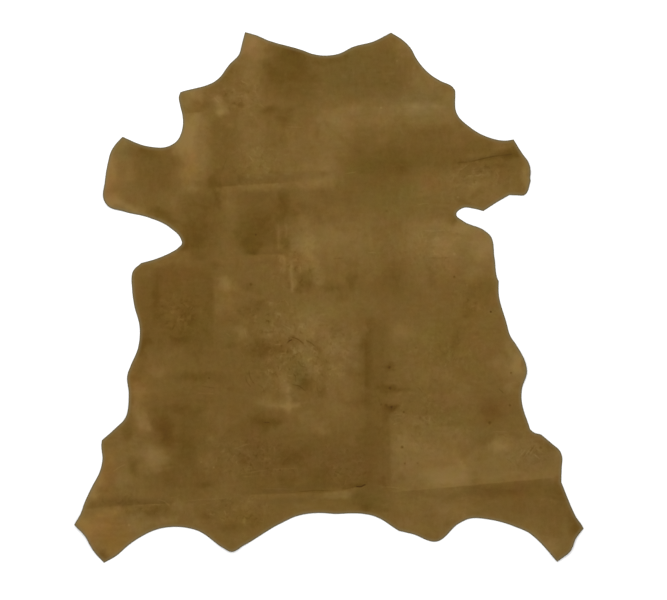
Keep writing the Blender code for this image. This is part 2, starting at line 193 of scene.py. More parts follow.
# Smaller rubbed, stained and brushed patches, as ellipses: the tone, the middle's x and y, how far each
# reaches sideways and lengthways, and for some how far it is turned anticlockwise, in degrees
PATCHES = (
    # Neck
    (12, -145, 484, 36, 32, -10), (-11, -70, 451, 53, 49), (-9, -107, 421, 34, 26), (-5, -51, 425, 30, 34),
    (9, 138, 474, 23, 30, -30), (8, 190, 412, 49, 45), (8, 224, 376, 26, 24), (5, -128, 455, 30, 18),
    (-5, -205, 392, 28, 34), (-4, -177, 429, 19, 26, 35), (-3, 115, 410, 26, 19), (4, -134, 455, 28, 30),
    (-6, -78, 414, 24, 18), (-6, -190, 416, 20, 16, 30), (-6, -163, 398, 22, 18),
    (-6, -78, 462, 30, 14, -14), (-6, 6, 448, 50, 12), (-5, -120, 402, 16, 16), (-5, -94, 402, 14, 14),
    (-5, -34, 412, 18, 18), (-4, -60, 457, 16, 12), (-4, 180, 414, 14, 14), (-4, -116, 436, 14, 12),
    (-4, -180, 428, 12, 12), (5, 137, 443, 16, 16), (5, 113, 422, 18, 14), (6, -124, 476, 14, 14),
    (-4, -113, 391, 16, 12), (-4, -150, 394, 12, 12), (-4, 36, 456, 14, 10), (-4, -24, 446, 16, 8),
    (-4, -150, 483, 12, 14), (-4, 28, 434, 18, 12), (-4, 135, 472, 14, 14), (-4, 38, 457, 16, 10),
    (-4, -137, 396, 12, 12),
    # Withers
    (2, 20, 326, 40, 26), (14, -210, 368, 11, 19, 25), (13, -200, 352, 17, 22, 20), (-6, -179, 361, 15, 17),
    (-9, -113, 348, 26, 21), (-7, -77, 340, 24, 24), (-7, -66, 386, 60, 46), (-5, -106, 297, 23, 41, 10),
    (-5, -88, 306, 10, 34), (-5, 52, 376, 40, 14), (-5, 190, 310, 64, 23), (-3, 110, 244, 90, 34, 3),
    (-3, 119, 278, 41, 26), (-5, 139, 242, 30, 17), (8, -202, 348, 22, 12), (-7, -168, 358, 14, 18),
    (-6, -94, 334, 14, 22), (-6, -4, 326, 24, 12), (-6, -18, 310, 16, 20), (5, 140, 350, 30, 10),
    (4, 175, 354, 60, 14), (2, 160, 374, 70, 20), (5, 41, 300, 18, 16), (-5, -79, 352, 14, 14),
    (-5, -84, 334, 20, 16), (-5, -82, 296, 14, 18), (-4, -141, 332, 14, 14), (-5, 243, 326, 14, 16),
    (-7, -112, 348, 16, 15), (5, -190, 322, 16, 14), (5, 246, 290, 18, 12), (5, 103, 303, 24, 14),
    (-5, -165, 357, 12, 14), (-4, -67, 351, 14, 12), (-4, -15, 291, 16, 14), (2, 70, 362, 80, 26),
    (-5, -92, 326, 24, 14), (-4, -117, 326, 14, 12), (-4, -100, 352, 12, 12), (4, -220, 336, 12, 14),
    (-3, 35, 400, 40, 10), (-4, -145, 323, 14, 12), (-4, -22, 404, 18, 12), (-4, -116, 326, 14, 12),
    (4, -192, 318, 12, 14), (-4, -69, 408, 14, 12), (-4, -199, 285, 12, 14),
    # Left shoulder
    (13, -270, 382, 24, 20), (-8, -238, 362, 24, 14), (8, -250, 338, 20, 14), (6, -256, 384, 24, 14),
    (15, -262, 305, 28, 60), (8, -283, 286, 18, 26), (3, -262, 244, 23, 34), (-9, -215, 216, 26, 23),
    (-5, -234, 174, 26, 30), (-10, -258, 112, 45, 60), (3, -190, 174, 23, 57), (5, -275, 67, 45, 17),
    (8, -256, 203, 22, 14), (-6, -160, 232, 40, 16, 4), (-8, -240, 76, 34, 12), (6, -248, 378, 20, 14),
    (6, -286, 280, 16, 18), (-6, -232, 214, 20, 14), (-6, -214, 64, 26, 12), (-5, -214, 186, 16, 16),
    (-5, -211, 174, 14, 16), (-4, -271, 163, 16, 14), (-5, -205, 238, 14, 18), (-4, -269, 95, 16, 14),
    (5, -243, 373, 12, 8), (4, -238, 333, 14, 16), (-4, -280, 177, 16, 14), (-4, -246, 212, 14, 12),
    (-4, -240, 234, 12, 12), (4, -268, 368, 12, 12), (-4, -273, 89, 14, 12), (-5, -218, 196, 12, 14),
    (-4, -201, 204, 14, 10), (-4, -275, 87, 12, 10),
    # Left foreleg
    (10, -417, 240, 19, 75, -4), (14, -413, 180, 30, 23), (13, -374, 169, 50, 15, -12),
    (5, -379, 231, 19, 49), (-9, -345, 274, 38, 23, -10), (-3, -324, 229, 34, 41), (3, -340, 220, 22, 22),
    (3, -296, 176, 26, 15), (-7, -304, 148, 46, 18, -30), (-9, -330, 162, 34, 13, -20),
    (-6, -299, 148, 20, 12, -40), (-4, -285, 138, 14, 12), (4, -388, 287, 16, 12), (4, -366, 227, 14, 16),
    (-4, -318, 155, 16, 10, -20), (-4, -356, 276, 14, 10, -8), (-4, -405, 253, 12, 16),
    # Right foreleg
    (-12, 337, 272, 34, 19, 12), (-4, 266, 257, 75, 9, 4), (4, 281, 210, 49, 11), (3, 250, 215, 120, 34),
    (13, 373, 225, 13, 41), (-14, 238, 152, 15, 13), (-9, 234, 138, 16, 16), (8, 326, 284, 34, 10, 8),
    (-6, 352, 264, 12, 14), (5, 330, 280, 24, 8, 8), (5, 272, 264, 28, 10), (-5, 238, 117, 16, 12),
    (-6, 354, 266, 12, 12), (5, 300, 244, 26, 8), (-5, 254, 181, 16, 8), (4, 324, 272, 14, 8, 8),
    (-5, 278, 196, 24, 8), (4, 294, 266, 16, 8, 6), (4, 267, 259, 24, 8, 6), (4, 332, 277, 12, 6, 8),
    (4, 295, 266, 14, 6, 6), (4, 300, 257, 32, 10, 4), (4, 331, 272, 12, 6, 8), (4, 235, 283, 22, 8, 5),
    (-4, 260, 181, 14, 8),
    # Ribs
    (-8, -138, 124, 54, 50), (-5, -148, 98, 34, 30), (-6, -84, 178, 15, 44), (9, -22, 214, 54, 25, 3),
    (-7, -84, 172, 23, 40), (6, -139, 208, 64, 11, -4), (10, -38, 97, 23, 38), (5, 11, 112, 45, 30),
    (12, -195, 22, 25, 22), (-9, -156, 25, 17, 17), (6, -85, 73, 17, 13), (-13, -46, 28, 24, 30),
    (6, -25, 67, 17, 49, 20), (-8, -36, 162, 38, 20), (-5, -8, 186, 36, 18), (-5, 40, 165, 26, 56),
    (-7, -150, -24, 44, 24), (4, -18, 52, 18, 22), (-8, -68, 150, 18, 26), (-8, 8, 146, 28, 22),
    (-6, -82, 98, 12, 16), (-6, -128, -6, 24, 14), (6, -49, 60, 16, 20), (3, -192, -12, 34, 24),
    (7, -66, 26, 10, 24), (-6, -128, 144, 18, 16), (-5, -22, 148, 16, 16), (6, -20, 34, 12, 16),
    (-5, -52, 172, 18, 12), (-6, -172, 124, 14, 18), (-7, -96, 232, 18, 10, 4), (-5, -80, 106, 12, 16),
    (-5, -9, 234, 18, 10, 3), (-4, -167, 208, 20, 8, -4), (6, -62, 26, 8, 18), (-6, -62, 157, 14, 14),
    (4, -41, 57, 10, 12), (-5, -113, 125, 12, 14), (-4, -209, 0, 10, 14), (-5, -67, 248, 14, 12),
    (-6, -198, -38, 26, 12), (-5, -156, 224, 18, 10), (-5, -116, 200, 16, 10), (-5, -124, -6, 18, 12),
    (-5, -15, 144, 14, 14), (-5, -136, 17, 14, 10), (-4, -114, 151, 12, 12), (-4, 20, 131, 16, 14),
    (-4, -9, 163, 16, 12), (-5, -148, 88, 20, 12), (-4, -109, 156, 14, 14), (4, -50, 212, 14, 8),
    (-4, -52, 178, 16, 14), (4, -22, 30, 12, 16), (-4, -136, 162, 34, 18), (-5, -160, 104, 22, 22),
    (-4, 30, 126, 14, 14), (4, -30, 42, 10, 12), (4, -174, 16, 12, 12), (3, -188, 4, 20, 18),
    (-5, -130, 97, 16, 16), (-5, -94, 149, 12, 14), (-4, -75, 90, 12, 12), (-4, -128, -16, 16, 24),
    (-4, -41, -48, 14, 12), (-4, -124, 98, 14, 14), (-4, -96, 105, 12, 12), (-4, -180, -32, 16, 12),
    (-4, -30, 140, 16, 12), (-4, 43, 102, 18, 12),
    # Left flank
    (-8, -324, -1, 17, 72), (-8, -262, -35, 21, 49), (-9, -279, -80, 34, 17), (-6, -250, -106, 30, 16),
    (-7, -186, -92, 20, 16), (-11, -351, -91, 17, 41, -15), (5, -324, -137, 45, 19),
    (-9, -247, -150, 87, 15), (9, -356, -178, 26, 30), (14, -353, -229, 19, 46, 24),
    (-14, -309, -250, 28, 45, 20), (-6, -285, -208, 49, 19), (17, -331, -301, 42, 45),
    (-5, -270, -278, 26, 57), (-5, -296, -344, 26, 26), (10, -228, -306, 30, 34), (-11, -379, -254, 17, 26),
    (7, -322, 62, 30, 10), (5, -345, 50, 32, 12), (7, -226, -225, 26, 22), (-7, -362, -136, 14, 30, -10),
    (6, -344, -242, 12, 18, 30), (5, -362, -198, 12, 18, 10), (5, -322, -326, 14, 14),
    (5, -220, -264, 18, 18), (-5, -186, -174, 18, 12), (-5, -326, -210, 14, 14),
    (4, -366, -202, 12, 18, 10), (4, -222, -210, 18, 14), (4, -237, -257, 16, 14), (-4, -352, -107, 10, 14),
    (4, -314, -308, 14, 14), (4, -217, -267, 12, 14), (-4, -254, -117, 18, 14), (4, -312, -278, 12, 14),
    (4, -331, -174, 18, 12),
    # Right flank
    (3, 190, 135, 57, 23), (8, 219, 97, 38, 30), (8, 250, 128, 52, 18, -4), (9, 290, 94, 30, 40),
    (-7, 122, 40, 32, 38), (-12, 44, 38, 14, 40), (-9, 6, 24, 28, 20), (-7, 21, -1, 17, 17),
    (-6, 192, 34, 13, 36), (-7, 285, 18, 49, 34), (-6, 262, -24, 17, 45), (-7, 241, -76, 17, 49, -12),
    (8, 140, -68, 44, 30), (3, 187, -61, 38, 49), (13, 351, -118, 23, 64, 15), (9, 360, -130, 14, 40, 8),
    (5, 335, -145, 24, 40), (-11, 306, -212, 38, 40), (6, 247, -180, 34, 26), (5, 219, -146, 41, 17, -20),
    (8, 273, 46, 26, 24), (7, 318, -120, 26, 24), (6, 350, -164, 18, 22), (3, 170, -130, 40, 50),
    (5, 188, -151, 22, 22), (-5, 114, -30, 16, 12), (4, 335, -170, 12, 14), (4, 280, 28, 24, 12),
    (4, 312, -132, 24, 32, 20), (4, 343, -172, 14, 16), (-4, 12, -50, 14, 14), (-4, 16, -74, 12, 12),
    (-3, 26, 20, 40, 16), (-3, 262, -10, 16, 50), (5, 46, 52, 22, 12), (-5, 32, -74, 12, 14),
    (-4, 294, 83, 16, 12), (4, 65, -57, 10, 16), (4, 192, -195, 22, 14),
    # Belly
    (5, -36, -52, 30, 38), (5, 13, -95, 30, 23), (5, 15, -137, 26, 23), (-13, -124, -99, 49, 23),
    (-8, -66, -84, 26, 12, -20), (11, -164, -67, 17, 23), (7, -100, -61, 41, 17),
    (-15, -47, -155, 25, 46, 25), (9, -85, -165, 19, 45, 15), (5, -92, -200, 46, 14, -4),
    (5, -126, -193, 34, 15), (-9, -15, -178, 17, 23), (-7, 50, -142, 30, 16), (-13, 115, -131, 17, 13),
    (-9, 112, -170, 28, 13), (-18, 117, -208, 25, 13), (-8, 50, -197, 26, 20), (7, -42, -122, 16, 20),
    (-6, 62, -84, 12, 34), (6, -44, -100, 34, 44), (-3, -130, -130, 40, 30), (-6, 124, -174, 22, 18),
    (-6, 122, -208, 18, 14), (5, 64, -56, 12, 18), (7, -49, -136, 22, 18), (-6, 14, -63, 20, 16),
    (5, -58, -202, 16, 14), (6, -22, -134, 16, 16), (-5, 99, -168, 16, 16), (-6, 26, -196, 22, 12),
    (-7, -86, -103, 18, 14), (5, -70, -62, 16, 10), (4, -88, -204, 26, 11), (7, -75, -210, 10, 9),
    (-5, -64, -166, 14, 9, -30), (-4, 113, -181, 16, 12), (-6, 112, -220, 18, 10), (-7, 137, -173, 15, 13),
    (-5, -64, -101, 14, 12), (4, -92, -134, 14, 12), (-5, 82, -44, 14, 12), (6, -28, -146, 14, 14),
    (-5, 18, -70, 16, 14), (4, 65, -66, 10, 16), (-5, 110, -227, 18, 10), (4, -56, -203, 16, 10),
    (-4, 141, -174, 14, 12), (4, -42, -148, 12, 12), (-5, -77, -159, 12, 14), (-4, -69, -104, 14, 12),
    (-5, 122, -167, 14, 12), (-4, 117, -225, 14, 12), (4, -54, -202, 14, 12),
    # Loin
    (-14, -124, -233, 46, 25), (-9, -70, -304, 38, 26), (-6, -81, -348, 26, 19), (-6, -13, -335, 34, 34),
    (-2, 40, -305, 34, 26), (-8, 70, -388, 36, 26), (15, 17, -370, 45, 11, 3), (-9, -230, -352, 30, 15),
    (-6, -64, -235, 13, 13), (4, -198, -235, 26, 38), (-4, -158, -254, 23, 26), (-5, -186, -250, 16, 34),
    (-4, -122, -240, 26, 20), (-6, -167, -298, 26, 20), (7, -15, -245, 28, 18), (-7, -98, -234, 16, 14),
    (3, -45, -230, 60, 26), (7, 38, -271, 20, 16), (-4, -82, -232, 14, 12), (-5, 46, -390, 20, 12),
    (5, -12, -252, 20, 12), (-6, 72, -397, 26, 14), (-5, 50, -377, 16, 12), (-4, -101, -319, 14, 10),
    (-5, -16, -369, 24, 10, 3), (-4, 43, -393, 20, 12), (-4, 62, -366, 18, 10), (-4, 78, -397, 26, 14),
    (-4, -162, -327, 16, 12), (-4, -42, -290, 22, 20), (-4, -98, -224, 38, 12), (-4, -77, -311, 18, 10),
    (-4, 99, -404, 18, 10), (-4, -124, -287, 16, 14), (-4, 106, -408, 14, 10), (-4, -180, -172, 18, 12),
    # Right rump
    (12, 219, -340, 64, 30), (2, 280, -318, 120, 40), (6, 324, -279, 26, 13), (5, 251, -321, 30, 26),
    (10, 320, -278, 33, 23, 15), (4, 134, -261, 23, 38), (3, 162, -278, 17, 26), (-7, 290, -272, 24, 14),
    (-4, 246, -283, 60, 24), (5, 200, -364, 60, 8, 3), (-6, 136, -345, 16, 16), (-4, 302, -262, 18, 12),
    (-7, 101, -350, 12, 14), (-5, 260, -295, 18, 14), (-4, 135, -336, 14, 16), (-5, 301, -276, 14, 14),
    (-4, 336, -287, 12, 12), (5, 120, -283, 14, 22), (-4, 239, -242, 22, 14), (-4, 331, -285, 12, 12),
    (4, 106, -285, 12, 16),
    # Right hind leg
    (-5, 322, -367, 75, 19, 4), (-4, 435, -363, 34, 19), (-14, 464, -429, 23, 34, 20),
    (10, 420, -472, 36, 30), (8, 388, -451, 34, 15, -35), (4, 228, -397, 49, 23), (-4, 190, -412, 26, 19),
    (-13, 418, -280, 26, 19, -30), (-4, 414, -302, 24, 24), (-5, 390, -295, 16, 14),
    (-5, 438, -378, 16, 18), (4, 337, -359, 24, 8, 3), (-5, 222, -428, 20, 12),
    (-5, 400, -272, 16, 10, -30), (-4, 420, -347, 16, 10, 3), (4, 310, -354, 26, 8, 3),
    (4, 218, -371, 30, 10, 3), (-4, 390, -308, 14, 12), (4, 182, -381, 24, 10, 3),
    # Left hind leg
    (9, -439, -433, 41, 34), (9, -462, -428, 16, 34, 30), (-9, -356, -401, 44, 12),
    (12, -447, -363, 17, 57, -25), (4, -390, -340, 26, 30), (-15, -364, -316, 17, 25),
    (-15, -427, -486, 22, 18), (-10, -324, -396, 38, 17), (8, -309, -422, 34, 12), (-7, -375, -382, 75, 15),
    (6, -281, -389, 30, 17), (5, -425, -338, 14, 22, -25), (5, -418, -410, 40, 10, 4),
    (-5, -371, -355, 20, 12), (8, -441, -371, 20, 18), (4, -407, -308, 16, 14),
    (4, -427, -342, 14, 20, -25), (4, -397, -398, 18, 8, 4),
    # Rump
    (-9, -228, -408, 23, 21), (-9, -183, -433, 38, 17), (-8, -138, -416, 26, 21), (5, -153, -382, 34, 23),
    (-6, -196, -391, 23, 15), (2, 181, -240, 75, 19), (5, -147, -409, 16, 14), (4, -250, -425, 18, 12),
)

# Hair-thin marks in the nap, scratches, wrinkles and one short crack: from x, y to x, y, the bow, the rise
# and the tone. The tone is partly the marks' own colour and partly painted: shade in the grooves, where the
# rise is below 0, and light on the raised lines.
Hairline = namedtuple("Hairline", "start end bow rise tone")
HAIRLINES = (
    (-79, -86, -69, -79, 1, -0.3, -22), (-73, -73, -46, -88, 2, -0.25, -16),
    (-44, -80, -25, -93, 1, -0.3, -22), (-281, -10, -270, -16, 1, -0.15, -10),
    (-102, -14, -89, -5, -2, 0.1, 8), (-83, -5, -75, -17, 1, 0.1, 8), (-159, -60, -155, -76, 0, 0.1, 7),
    (-166, -103, -159, -119, 2, 0.1, 7), (-196, -66, -186, -74, 1, 0.1, 7),
    (-118, -130, -104, -142, -3, 0.1, 7), (-152, -134, -139, -166, -3, -0.15, -10),
    (-158, -146, -146, -170, -3, -0.12, -8), (-71, -163, -43, -177, 3, -0.2, -13),
    (-88, -51, -70, -61, 0, 0.1, 8), (-134, -164, -121, -178, 3, -0.1, -8),
    (-104, -122, -92, -110, 3, 0.1, 6), (-60, -120, -40, -132, -4, -0.1, -8),
    (-30, -110, -12, -122, 3, -0.1, -8), (-24, -140, -8, -128, 3, 0.1, 7),
    (-70, -140, -62, -160, 3, -0.1, -9), (240, 253, 262, 255, 1, -0.2, -8),
    (262, 255, 351, 271, 2, -0.45, -14), (246, 240, 260, 250, -1, 0.1, 7), (268, 238, 300, 240, 1, 0.1, 5),
    (166, 174, 191, 178, 1, 0.1, 6), (172, 127, 220, 127, -2, 0.1, 6), (30, 233, 54, 237, 0, 0.1, 6),
    (50, -357, 70, -352, -2, -0.6, -30), (-60, -366, 8, -364, 1, -0.2, -10),
    (96, -357, 136, -360, 1, 0.15, 7), (360, -299, 371, -286, 0, 0.1, 9), (369, -298, 381, -283, 0, 0.1, 9),
    (379, -295, 389, -280, 0, 0.1, 10), (390, -284, 404, -294, 0, 0.1, 10),
    (364, -302, 375, -288, 0, -0.1, -9), (375, -297, 386, -281, 0, -0.1, -9),
    (385, -294, 398, -305, 0, 0.1, 9), (334, -303, 345, -312, 0, -0.1, -8),
    (121, -222, 138, -221, 1, 0.1, 8), (121, -230, 138, -226, 1, 0.1, 8), (120, -240, 135, -236, 1, 0.1, 8),
    (168, -169, 178, -181, 0, -0.15, -10), (319, -171, 330, -181, 0, -0.15, -9),
    (306, -253, 336, -253, 0, 0.1, 7), (318, -259, 336, -264, 3, -0.1, -8),
    (-407, -328, -383, -314, 1, 0.12, 9), (-372, -393, -309, -390, 1, 0.12, 9),
    (-322, -380, -300, -392, 2, 0.12, 10), (-300, -378, -280, -372, -1, 0.1, 6),
    (-172, -333, -55, -321, 2, 0.1, 6), (-165, -338, -110, -335, 0, 0.1, 5),
    (-249, -180, -214, -182, 0, 0.1, 7), (-240, -167, -214, -171, 0, -0.1, -6),
    (-181, -286, -149, -275, 0, 0.1, 8), (-124, -235, -110, -236, 0, -0.2, -13),
    (10, -327, 24, -335, 1, -0.15, -10), (-217, 377, -206, 366, 0, 0.12, 9),
    (-82, 322, -46, 320, 0, 0.1, 7), (-168, 410, -153, 402, 0, 0.1, 7), (-130, 364, -120, 357, 0, 0.1, 7),
    (-193, 260, -200, 240, -1, -0.1, -7), (-152, 268, -142, 254, 1, 0.1, 8), (72, 85, 90, 84, 0, 0.1, 6),
    (104, 59, 122, 57, 1, 0.1, 7), (8, 73, 28, 74, 0, -0.1, -6), (186, 74, 226, 75, 0, -0.1, -6),
    (-276, -384, -178, -378, 1, 0.1, 4), (-128, -360, -66, -361, 0, 0.1, 6),
)

# Pits and specks: dark pits where the grain was nicked, their darkness partly painted shade in the hollow,
# and light specks where lint was left: x and y, the reach, the rise and the tone
Speck = namedtuple("Speck", "middle reach rise tone")
SPECKS = (
    (305, -27, 3, -0.4, -40), (343, -142, 3, -0.3, -22), (114, -132, 4.5, -0.4, -20),
    (115, -171, 4.5, -0.4, -20), (108, -203, 4.4, -0.4, -14), (118, -206, 3.8, -0.4, -15),
    (98, -202, 3.4, -0.2, -8), (141, -216, 3, -0.3, -20), (138, -282, 4.6, -0.4, -26),
    (143, -313, 3.6, -0.2, -17), (303, -236, 4.4, -0.3, -20), (341, -203, 4, -0.3, -20),
    (164, -95, 3.4, -0.2, -11), (109, 163, 3.4, -0.2, -11), (236, 39, 3.4, -0.3, -20),
    (-138, 118, 2.6, -0.3, -22), (-147, 25, 4.5, -0.2, -14), (-226, -152, 3.4, -0.2, -14),
    (-92, -325, 3.2, -0.2, -13), (243, 189, 3, 0.1, 15), (98, 357, 2.8, 0.1, 26), (236, 82, 3.4, 0.1, 32),
    (-377, -429, 3, 0.1, 30), (128, 446, 3, 0.1, 11), (-217, -320, 2.8, 0.1, 15),
    (-241, -310, 2.6, 0.1, 12), (249, -310, 3.2, 0.1, 14), (-164, 380, 2.6, 0.1, 8),
    (69, -330, 2.8, -0.1, -9), (-47, -56, 2.8, -0.2, -12), (167, -312, 3.2, -0.2, -12),
    (399, -283, 4.2, -0.2, -13), (-89, -91, 3.4, -0.2, -14), (2, -145, 3, 0.1, 10),
    (-98, -172, 2.8, 0.1, 10), (-84, -157, 3, 0.1, 9),
)

# Stains too faint to see one by one: the middle, the reach sideways and lengthways, and how much redder
# and how much yellower the suede is there
STAINS = (
    (-422, -438, 75, 66, 4.4, 4.6), (-422, -325, 38, 90, 3.5, 2.4), (-356, -165, 42, 98, 2.4, 2.2),
    (-330, -250, 50, 45, 2, -1), (-417, 212, 45, 80, 3.2, 1), (-262, 246, 30, 46, 4, 3),
    (-145, 467, 36, 40, 2, -0.5), (-281, 52, 70, 70, 2.6, 1.5), (-74, 71, 140, 38, 1.8, 1.5),
    (-148, 112, 52, 48, -2.4, 1), (190, 212, 30, 40, 2.2, 1), (219, 42, 42, 80, 2, 0.5),
    (285, -90, 42, 34, 2.6, 0.5), (313, -212, 42, 34, 2.6, 0), (360, -363, 28, 60, 2.2, 0),
    (219, -193, 50, 26, 1.6, -1), (21, -306, 170, 60, 0.8, -2), (40, 429, 175, 98, -2.8, -2.8),
    (134, 184, 110, 50, -3.6, 0), (58, 244, 44, 28, -2.4, 1), (-385, 278, 36, 28, -3, -2.5),
    (-17, -24, 98, 32, -2.2, 0.5), (-55, -146, 32, 38, -3.4, -2), (190, -80, 60, 50, -2, 0.5),
    (209, -231, 80, 50, -2, 1), (285, -306, 80, 45, -1.6, 0), (77, -382, 60, 30, -3, -1),
    (-243, -61, 50, 50, -1.8, 0.5), (120, 378, 110, 26, -0.5, -3), (50, -100, 60, 60, 0, -2.2),
    (-150, -290, 110, 60, 0.8, -2), (280, 0, 50, 90, 0, 2), (380, -300, 60, 60, 0, -1.5),
    (185, 366, 90, 50, -2.4, -2.4), (120, 258, 110, 50, -1, 0), (240, -310, 130, 50, 1.6, 1.2),
    (-285, -20, 90, 90, 1.4, 1.6), (-190, 0, 50, 50, 1.2, 2), (240, -90, 110, 110, -0.5, 1.8),
    (-160, -420, 80, 50, 0, 2.4), (360, -370, 90, 40, 0.6, 1.4), (-390, -470, 60, 40, 0.6, 2),
    (-325, -300, 36, 36, 1, 0), (0, -390, 70, 26, 0, 1.3), (70, 40, 100, 50, 0.4, 0.8),
    (120, 100, 60, 30, -0.8, 0), (60, -100, 46, 50, -0.7, 0), (150, 400, 60, 50, -0.5, -0.9),
    (-160, 430, 40, 30, -0.3, -0.8), (-340, 240, 50, 40, 0, -0.8), (-130, 280, 60, 50, -0.6, -0.5),
    (180, 320, 60, 40, -0.5, -0.4), (-100, -400, 60, 30, 0, 0.7),
)

# Areas with fine wrinkles all over: the middle, the reach, and how plain the wrinkles are there
WRINKLED = (
    (-60, -110, 150, 110, 0.8), (-120, -30, 80, 60, 0.45), (-60, 60, 70, 90, 0.6),
    (-150, -300, 130, 70, 0.5), (30, -320, 90, 60, 0.4), (180, -230, 130, 90, 0.4),
    (370, -300, 70, 45, 0.3), (280, 230, 90, 40, 0.6), (-130, 250, 90, 60, 0.35), (-280, -30, 80, 80, 0.5),
    (-370, -390, 90, 40, 0.4), (230, -100, 100, 70, 0.4), (264, 0, 40, 60, 0.5), (-170, 380, 70, 60, 0.5),
    (190, 90, 120, 60, 0.4), (-170, -400, 90, 40, 0.7),
)


def bell(distance):
    """1 in the middle, falling softly to 0 at a distance of 1."""
    return 0.5 + 0.5 * np.cos(np.pi * np.minimum(np.abs(distance), 1))


def soft_step(distance):
    """0 before -1, rising softly to 1 after 1."""
    return 0.5 + 0.5 * np.sin(np.pi / 2 * np.clip(distance, -1, 1))


def as_lines(kind, rows):
    """Lines of one kind, from rows that open with the places of both ends."""
    return [kind(row[:2], row[2:4], *row[4:]) for row in rows]


creases = as_lines(Crease, CREASES.values())
hairlines = as_lines(Hairline, HAIRLINES)
specks = [Speck(row[:2], *row[2:]) for row in SPECKS]

# How sharp a ridge's top is, and how late folds and fine lines fade out towards their ends
RIDGE_SHARPNESS = 1.5
FOLD_FADE = 3
LINE_FADE = 5


def straight(line):
    """A line's start, its run and the direction to its left."""
    start = np.array(line.start, float)
    run = np.array(line.end) - start
    return start, run, np.array((-run[1], run[0])) / np.hypot(*run)


def beside(line, points):
    """How far along a line each point lies, from 0 to 1, and how far to the left of the bowed line."""
    start, run, left = straight(line)
    along = (points - start) @ run / (run @ run)
    return along, (points - start) @ left - line.bow * bell(2 * along - 1)


def lift(points):
    """The height of the skin's underside above the surface that it lies on."""
    height = np.zeros(len(points))
    for fold in FOLDS:
        along, aside = beside(fold, points)
        across = np.abs(aside) / fold.half_width
        shape = bell(across) ** RIDGE_SHARPNESS if fold.kind == "ridge" else bell(2 * across - 1)
        here = (along > 0) & (along < 1) & (across < 1)
        height += here * fold.rise * shape * bell((2 * along - 1) ** FOLD_FADE)
    for swell in SWELLS:
        height += swell.rise * bell(np.hypot(*(points - swell.middle).T) / swell.reach)
    return height


# The flat cut outline, in short steps
EDGE_STEP = 2.5
CUT_WANDER = 0.25
CUT_WANDER_LENGTH = 14


def heading(before, here, after):
    """The way in which the edge passes a point, led by the nearer of its neighbours."""
    back = here - before
    ahead = after - here
    return (back.normalized() * ahead.length + ahead.normalized() * back.length).normalized()


def smooth_stretch(points):
    """One stretch of the edge as short steps, sharp at both ends, without its last point."""
    headings = [(points[1] - points[0]).normalized()]
    headings += [heading(*points[k - 1:k + 2]) for k in range(1, len(points) - 1)]
    headings.append((points[-1] - points[-2]).normalized())
    steps = []
    for k, start in enumerate(points[:-1]):
        end = points[k + 1]
        span = (end - start).length
        leaving = start + headings[k] * span / 3
        arriving = end - headings[k + 1] * span / 3
        count = max(1, round(span / EDGE_STEP))
        steps += [p.xy for p in interpolate_bezier(start, leaving, arriving, end, count + 1)][:-1]
    return steps


def waver(points, amount, size, level=0):
    """Smooth noise at each point, as strong and as broad as asked, from one level of its depth."""
    return [amount * noise.noise(Vector((x, y, level)) / size) for x, y in points]


outline = []
stretches = list(EDGE.values())
for stretch, following in zip(stretches, stretches[1:] + stretches[:1]):
    outline += smooth_stretch([Vector(p) for p in stretch + following[:1]])
outline = np.array(outline)
travel = np.roll(outline, -1, axis=0) - np.roll(outline, 1, axis=0)
travel /= np.hypot(*travel.T)[:, None]
inward = np.column_stack((travel[:, 1], -travel[:, 0]))
outline += inward * np.abs(waver(outline, CUT_WANDER, CUT_WANDER_LENGTH))[:, None]

# How finely the mesh follows the skin: near the edge, over its top, along the creases and beneath. The
# rows of a grid lie ROW_SPACING of a step apart, which makes its triangles even.
# A row's points are left out where a corner brings them nearer to the cut than ROW_CLEARANCE of the inset.
RIM_INSET = 0.45
EDGE_ROWS = (1.6, 3.6)
ROW_CLEARANCE = 0.9
ROW_SPACING = 0.866
TOP_STEP = 4.0
TOP_MARGIN = 5.0
UNDER_STEP = 9.0
UNDER_MARGIN = 8.0
CREASE_STEP = 3.0
CREASE_ROWS = (-4.2, -2.4, -1.2, 0, 1.2, 2.4, 4.2)
CREASE_MARGIN = 2.0
HAIR_STEP = 2.6
HAIR_MARGIN = 0.9
HAIR_ROWS = (-1.7, -0.8, 0, 0.8, 1.7)
SPECK_RINGS = ((0.0, 1), (0.35, 6), (0.7, 10), (1.0, 14))
SAME_PLACE = 1e-4


def inside(points):
    """Which points lie within the cut edge."""
    within = np.zeros(len(points), bool)
    for a, b in zip(outline, np.roll(outline, -1, axis=0)):
        if a[1] != b[1]:
            level = (a[1] > points[:, 1]) != (b[1] > points[:, 1])
            within ^= level & (points[:, 0] < a[0] + (points[:, 1] - a[1]) / (b[1] - a[1]) * (b[0] - a[0]))
    return within


def distance_to(others, points):
    """How far each point is from the nearest of some others."""
    tree = KDTree(len(others))
    for k, (x, y) in enumerate(others):
        tree.insert((x, y, 0), k)
    tree.balance()
    return np.array([tree.find((x, y, 0))[2] for x, y in points])


def lattice(step, margin):
    """Points in rows all over the skin, a step apart and at least a margin from the cut edge."""
    low = outline.min(axis=0)
    high = outline.max(axis=0)
    x, y = np.meshgrid(np.arange(low[0], high[0], step), np.arange(low[1], high[1], step * ROW_SPACING))
    x[1::2] += step / 2
    points = np.column_stack((x.ravel(), y.ravel()))
    points = points[inside(points)]
    return points[distance_to(outline, points) > margin]


rim = outline + inward * RIM_INSET
edge_rows = []
for inset in EDGE_ROWS:
    row = outline + inward * inset
    edge_rows.append(row[distance_to(outline, row) > ROW_CLEARANCE * inset])


def along_line(line, offsets, step):
    """Rows of points along a line, one row at each offset to its left."""
    start, run, left = straight(line)
    along = np.linspace(0, 1, round(np.hypot(*run) / step) + 1)[:, None]
    middle = start + along * run + left * line.bow * bell(2 * along - 1)
    return [middle + left * offset for offset in offsets]


